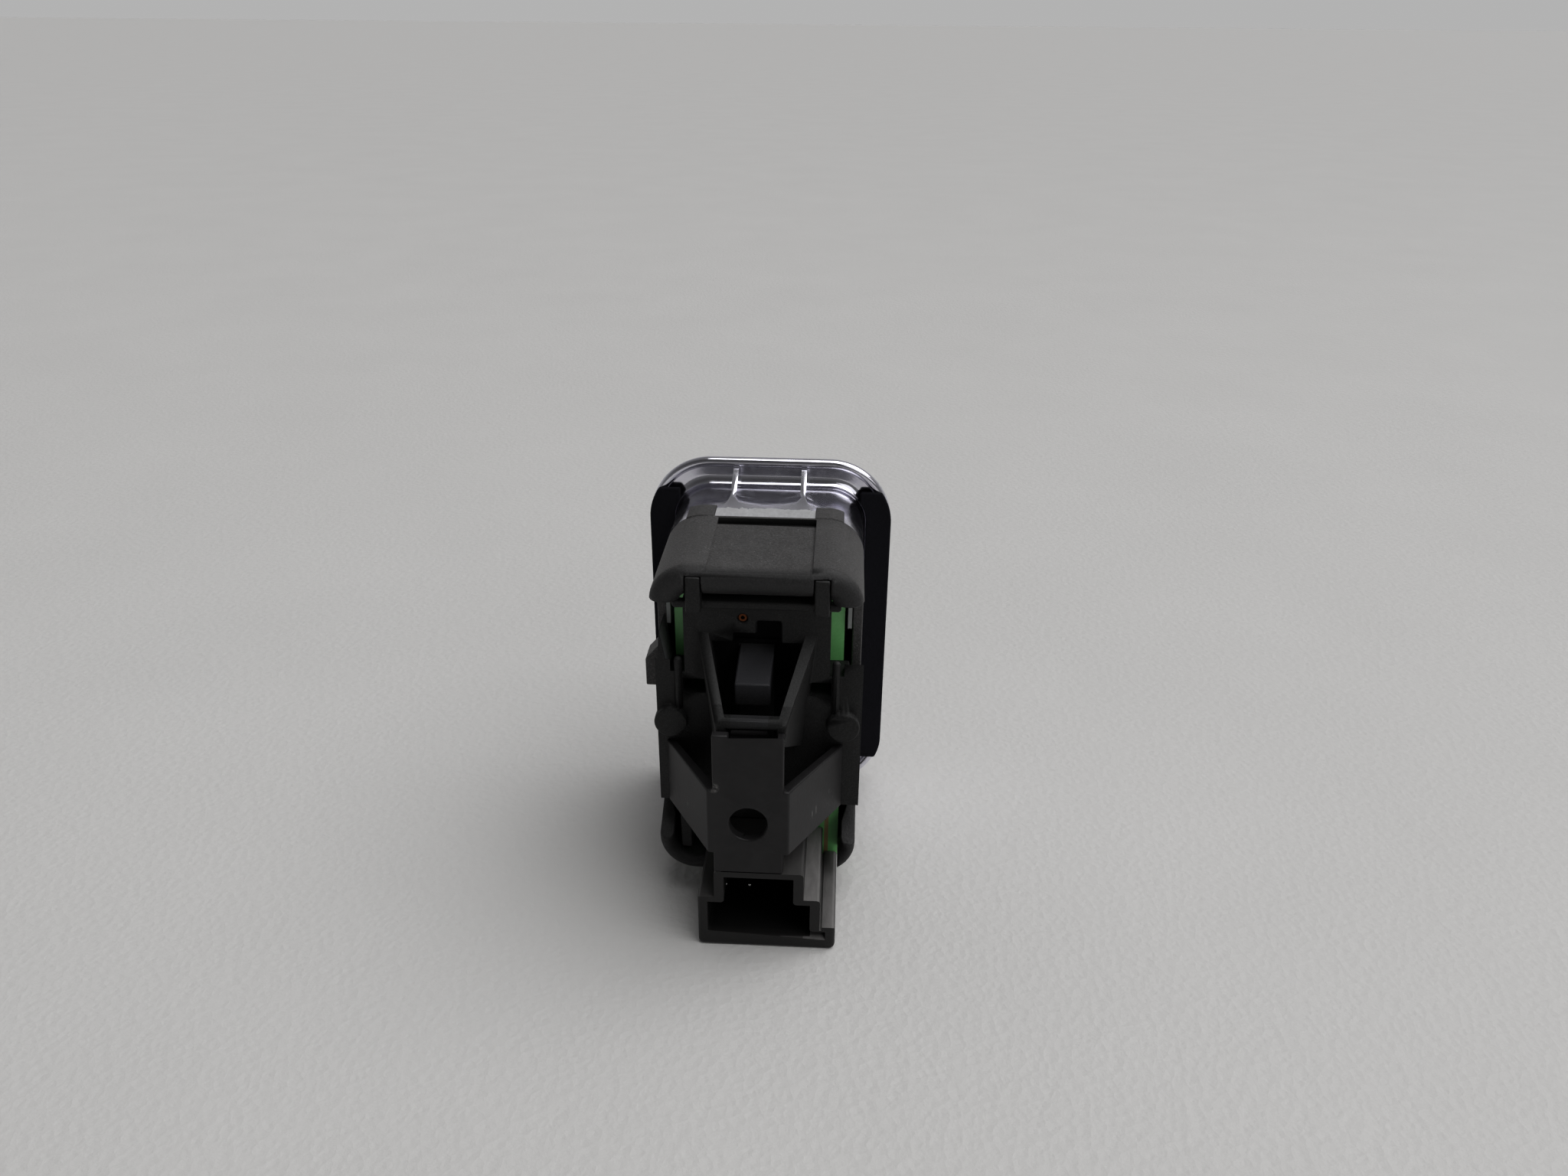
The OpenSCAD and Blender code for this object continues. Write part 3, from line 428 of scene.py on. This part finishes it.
copper = mottled_finish(
    "plated copper", (78, 45, 28), (110, 68, 44), scale=3000, detail=2, roughness=0.35, metallic=1.0
)
coat(nodes["test_contact"], copper)

black_case = mottled_finish(
    "black moulded case", (26, 26, 27), (38, 38, 39), scale=2500, detail=3, roughness=0.5
)
for name in ("tact_switch_upper", "tact_switch_lower"):
    coat(nodes[name], black_case)
for name in ("tact_button_upper", "tact_button_lower"):
    coat(nodes[name], black_case)
coat(nodes["resistors"], black_case)

lamp = mottled_finish(
    "clear lamp lens", (220, 206, 150), (240, 230, 190), scale=2500, detail=2, roughness=0.2
)
for name in ("led_left", "led_right"):
    coat(nodes[name], lamp)

# Rocker with its windows, pin and plungers
# Soft-touch black rocker with two milky light windows. It turns on a steel pin in the housing's
# posts, and its legs press two white plungers onto the contact switches.
rocker = dressed_copy("rocker", "rocker", edge=0.12)

soft_black, place, shader = new_finish("soft-touch black")
touch = place.noise(4200, detail=4, rough=0.6)
feed(shader, "Base Color", touch.blend(colour(26, 26, 28), colour(38, 38, 40)))
feed(shader, "Roughness", place.noise(160, detail=3).step(0.3, 0.7) * 0.15 + 0.5)
feed(shader, "Normal", touch.bump(0.03 * MM, strength=0.5))
coat(rocker, soft_black)
coat(nodes["rocker_window"], guide_clear)

pin_steel = mottled_finish(
    "ground steel", (140, 140, 142), (178, 178, 180), scale=900, detail=3, roughness=0.3,
    metallic=1.0, stretch=(1, 6, 6),
)
coat(nodes["pivot_pin"], pin_steel)

white_slider = mottled_finish(
    "white slider plastic", (222, 221, 216), (236, 235, 231), scale=1500, detail=3, roughness=0.4
)
for name in ("plunger_upper", "plunger_lower"):
    coat(nodes[name], white_slider)

# Rear cover
# Black moulding that holds the board down, hooked into notches of the upper hood's lip. It has a
# stepped recess, side slots, a ramped catch in a pocket between two ribs, rails and round ears.
cover = dressed_copy("rear_cover", "switch", edge=0.18)

cover_black, place, shader = new_finish("grained black plastic")
black, black_pale, black_speck = colour(28, 28, 28), colour(42, 42, 42), colour(84, 84, 84)
# Painted light for the rail's slope and the catch's top, a pale grey for upper faces, and painted
# shade for the pocket
rail_painted_light, catch_painted_light = colour(150, 150, 152), colour(62, 62, 66)
cover_upper_pale, pocket_shade_black = colour(108, 108, 108), colour(4, 4, 5)
x, y, z = map(place.axis, "XYZ")
grain = place.noise(5600, detail=4, rough=0.65)
cloud = place.noise(380, detail=4, rough=0.6)
speck = place.cells(4600).step(0.3, 0.1) * place.noise(800, detail=2).step(0.45, 0.6)
shade = (grain * 0.8 + cloud * 0.2).step(0.35, 0.65).blend(black, black_pale)
shade = (speck * 0.3).blend(shade, black_speck)
# Faces that look up above 6 mm are blended a little towards pale grey, and painted light makes the
# left rail's slope pale
upper_pale_line = 6 * MM
dust_and_painted_light = place.upward() * (z > upper_pale_line)
shade = (dust_and_painted_light * 0.18).blend(shade, cover_upper_pale)
rail_slope_light = x.within(-9.75, -8.85) * z.within(6, 10.4) * (y > -20.4 * MM)
shade = (rail_slope_light * 0.5).blend(shade, rail_painted_light)
# Painted light pales the catch's top, and painted shade blackens the pocket around it
catch_middle, catch_reach, catch_top = -0.2 * MM, 1.8 * MM, 8.05 * MM
catch = (abs(x - catch_middle) < catch_reach) * (z < catch_top)
light_low, light_high = 4 * MM, 7 * MM
light_inner, light_outer = -17.5 * MM, -19.5 * MM
catch_light = catch * z.step(light_low, light_high) * y.step(light_inner, light_outer)
shade = (catch_light * 0.8).blend(shade, catch_painted_light)
pocket_mouth, pocket_floor = -20.6 * MM, -19.2 * MM
pocket_reach, pocket_top = 4.7 * MM, 12 * MM
pocket_shade = y.step(pocket_mouth, pocket_floor) * (abs(x) < pocket_reach) * (z < pocket_top)
pocket_shade = pocket_shade * (1 - catch)
feed(shader, "Base Color", pocket_shade.blend(shade, pocket_shade_black))
feed(shader, "Roughness", cloud * 0.16 + pocket_shade * 0.3 + 0.44)
feed(shader, "Specular IOR Level", 0.3)
feed(shader, "Normal", grain.bump(0.06 * MM, strength=0.6))
coat(cover, cover_black)

# Mounting bracket
# Folded satin black bracket with a fixing hole, which hooks under the cover's cross bar, stands on
# the socket and rests its wings on the rails. Handling has left pale scuffs on it.
bracket = dressed_copy("mounting_bracket", "switch", edge=0.2)

satin_black, place, shader = new_finish("satin black")
satin, satin_pale, scuff_pale = colour(32, 31, 32), colour(42, 41, 42), colour(168, 166, 164)
cloud = place.noise(300, detail=4, rough=0.6)
scuff = place.scaled(1.6, 1, 0.6).noise(1500, detail=5, rough=0.75).step(0.66, 0.78)
scuff = scuff * place.noise(220, detail=2).step(0.52, 0.66)
# A chipped spot at the fold, and pale scratches across the wings
chips = place.noise(1500, detail=3, rough=0.7).step(0.36, 0.6)
streak = place.scaled(2.6, 2.6, 0.5).noise(1300, detail=4, rough=0.75).step(0.56, 0.66)
worn = place.near((-3.6, -29.3, -1.7), reach=0.7) * chips
scratches = (
    ((-6.5, -25.4, -6.3), 1.6, 0.4),
    ((-8.7, -21.7, -7.2), 1.5, 0.5),
    ((7.5, -22.9, -6.9), 1.3, 0.5),
    ((6.1, -25.3, -7.0), 1.1, 0.6),
)
for spot, reach, strength in scratches:
    worn = worn + place.near(spot, reach) * streak * strength
base = cloud.step(0.3, 0.7).blend(satin, satin_pale)
feed(shader, "Base Color", (worn * 0.5 + scuff * 0.3).blend(base, scuff_pale))
feed(shader, "Roughness", scuff * 0.2 + cloud * 0.14 + 0.36)
feed(shader, "Specular IOR Level", 0.3)
feed(shader, "Normal", place.noise(2600, detail=3, rough=0.6).bump(0.02 * MM, strength=0.4))
coat(bracket, satin_black)

# Cable socket
# Keyed shroud of the cable plug, moulded in black and soldered to the board through its tinned
# square terminals, which end well inside its mouth.
shroud = dressed_copy("connector_shroud", "switch", edge=0.34)

shroud_black, place, shader = new_finish("smooth black plastic")
smooth_black, smooth_pale = colour(26, 25, 25), colour(38, 37, 37)
# Painted light for the steps' upper faces, and painted shade for the cavity
step_painted_light, mouth_shade_black = colour(150, 148, 147), colour(3, 3, 3)
x, y, z = map(place.axis, "XYZ")
cloud = place.noise(500, detail=4, rough=0.6)
shade = cloud.blend(smooth_black, smooth_pale)
# Painted shade: the cavity is painted near-black from just inside its mouth
cavity_middle, wide_reach, narrow_reach = 0.75 * MM, 5.25 * MM, 3.55 * MM
aside = abs(x - cavity_middle)
wide = (aside < wide_reach) * z.within(-19.75, -15.6)
narrow = (aside < narrow_reach) * z.within(-15.7, -12.4)
inside = wide | narrow
mouth, dark_from = -29.3 * MM, -28 * MM
cavity_shade = y.step(mouth, dark_from) * inside
# Painted light pales the upper faces of its steps, most on the right, and none under the bracket,
# which shades them
bracket_reach, right_steps = 3 * MM, 5.3 * MM
dust_and_painted_light = place.upward() * (place.scaled(1, 0.25, 1).noise(1400, detail=4, rough=0.65) * 0.5 + 0.3)
dust_and_painted_light = dust_and_painted_light * (1 - inside) * (abs(x) > bracket_reach) * (0.3 + (x > right_steps) * 0.7)
shade = dust_and_painted_light.blend(shade, step_painted_light)
feed(shader, "Base Color", cavity_shade.blend(shade, mouth_shade_black))
feed(shader, "Specular IOR Level", 0.35)
feed(shader, "Roughness", cloud * 0.2 + cavity_shade * 0.3 + 0.34)
feed(shader, "Normal", place.noise(3800, detail=3, rough=0.6).bump(0.02 * MM, strength=0.5))
coat(shroud, shroud_black)

tin = mottled_finish(
    "bright tin", (206, 206, 206), (230, 230, 228), scale=4000, detail=2, roughness=0.12,
    metallic=1.0,
)
for name in ("terminal_1", "terminal_2"):
    pin = dressed_copy(name, "switch", edge=0.08)
    coat(pin, tin)

# Stage, light and camera
# Plain pale floor under soft studio light: a wide ceiling light from the upper right, a window
# panel at the right behind the camera, and a dim sky. The camera looks down at the switch's rear.
floor_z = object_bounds()[0][2]
floor_gap = 0.01 * MM
bpy.ops.object.select_all(action="DESELECT")
bpy.ops.mesh.primitive_plane_add(size=30, location=(0, 0, floor_z - floor_gap))
floor = bpy.context.active_object
floor.name = "floor"
floor_pale, place, shader = new_finish("pale floor")
pebble = place.cells(1100) * 0.5 + place.noise(1600, detail=4, rough=0.6) * 0.5
paint = place.noise(30, detail=3).blend(colour(202, 201, 200), colour(208, 207, 206))
feed(shader, "Base Color", paint)
feed(shader, "Roughness", 0.6)
feed(shader, "Normal", pebble.bump(0.15 * MM, strength=0.9))
floor.data.materials.append(floor_pale)

world = bpy.data.worlds.new("studio")
bpy.context.scene.world = world
world.use_nodes = True
tree = world.node_tree
sky = Finish(tree, tree.nodes.new("ShaderNodeTexCoord").outputs["Generated"])
# The sky is dimmer overhead and on the camera's side
overhead = sky.axis("Z").step(0.0, 0.7)
beyond = sky.axis("Y").step(-0.6, 0.6)
glow = (0.5 - overhead * 0.28) * (0.34 + beyond * 0.66)
feed(tree.nodes["Background"], "Color", glow)


def aim(light, direction):
    """Turns a light so that it shines along a direction."""
    light.rotation_euler = Vector(direction).to_track_quat("-Z", "Y").to_euler()


bpy.ops.object.light_add(type="SUN", location=(0.3, 0, 0.6))
ceiling = bpy.context.active_object
ceiling.name = "ceiling light"
ceiling.data.energy = 2.2
ceiling.data.angle = math.radians(64)
aim(ceiling, (-0.42, -0.02, -1))

bpy.ops.object.light_add(type="AREA", location=(0.42, -0.42, 0.42))
window = bpy.context.active_object
window.name = "window panel"
window.data.shape = "RECTANGLE"
window.data.size = 0.5
window.data.size_y = 0.35
window.data.energy = 0.6
window.visible_camera = False
aim(window, (-0.42, 0.42, -0.42))

bpy.ops.object.camera_add()
camera = bpy.context.active_object
camera.name = "camera"
camera.data.sensor_width = 36
camera.data.lens = 27.07
camera.data.clip_start = 0.005
stand = Vector((7.65, -122.24, 65.01)) * MM
pitch, yaw, roll = (math.radians(angle) for angle in (25.88, -2.83, -0.5))
level = math.cos(pitch)
ahead = Vector((math.sin(yaw) * level, math.cos(yaw) * level, -math.sin(pitch)))
right = Vector((math.cos(yaw), -math.sin(yaw), 0))
down = ahead.cross(right)
right_rolled = right * math.cos(roll) + down * math.sin(roll)
down_rolled = down * math.cos(roll) - right * math.sin(roll)
turn = Matrix((right_rolled, -down_rolled, -ahead)).transposed().to_4x4()
camera.matrix_world = Matrix.Translation(stand) @ turn
bpy.context.scene.camera = camera
bpy.context.scene.view_settings.view_transform = "Standard"
bpy.context.scene.view_settings.gamma = 0.86
